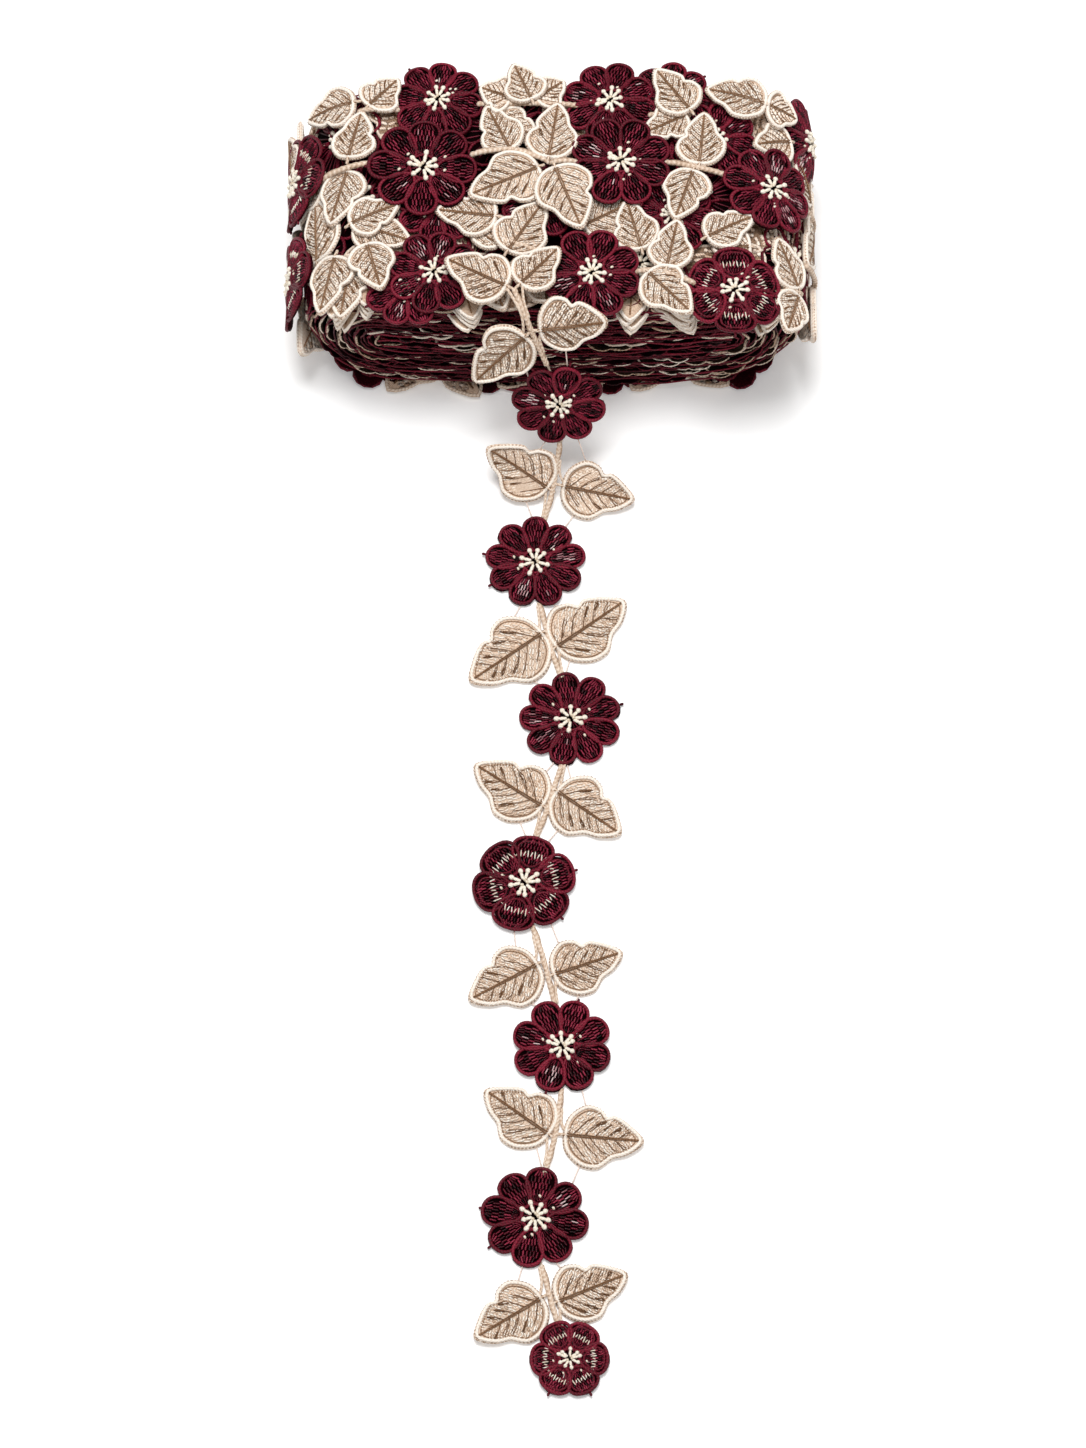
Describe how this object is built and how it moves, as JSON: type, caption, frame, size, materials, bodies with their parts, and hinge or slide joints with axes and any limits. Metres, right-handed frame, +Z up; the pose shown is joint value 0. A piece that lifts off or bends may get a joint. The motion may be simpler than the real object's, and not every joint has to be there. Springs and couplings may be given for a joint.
{
  "type": "embroidered lace trim, wound flat with one loose end",
  "caption": "Embroidered flower and leaf lace trim, wound flat into a bundle with one end lying loose.",
  "frame": {"origin": "on the surface, under the middle of the wound bundle", "axes": "+Z up; the turns run along X; the loose end lies toward -Y"},
  "size_m": [0.1269, 0.3167, 0.0462],
  "materials": {
    "burgundy_thread": "satin embroidery thread in wine red with near black gaps",
    "cream_thread": "matt cream embroidery thread with tan and brown veins"
  },
  "bodies": {
    "root": {"wound_bundle": "burgundy_thread", "loose_end": "cream_thread"}
  },
  "joints": []
}
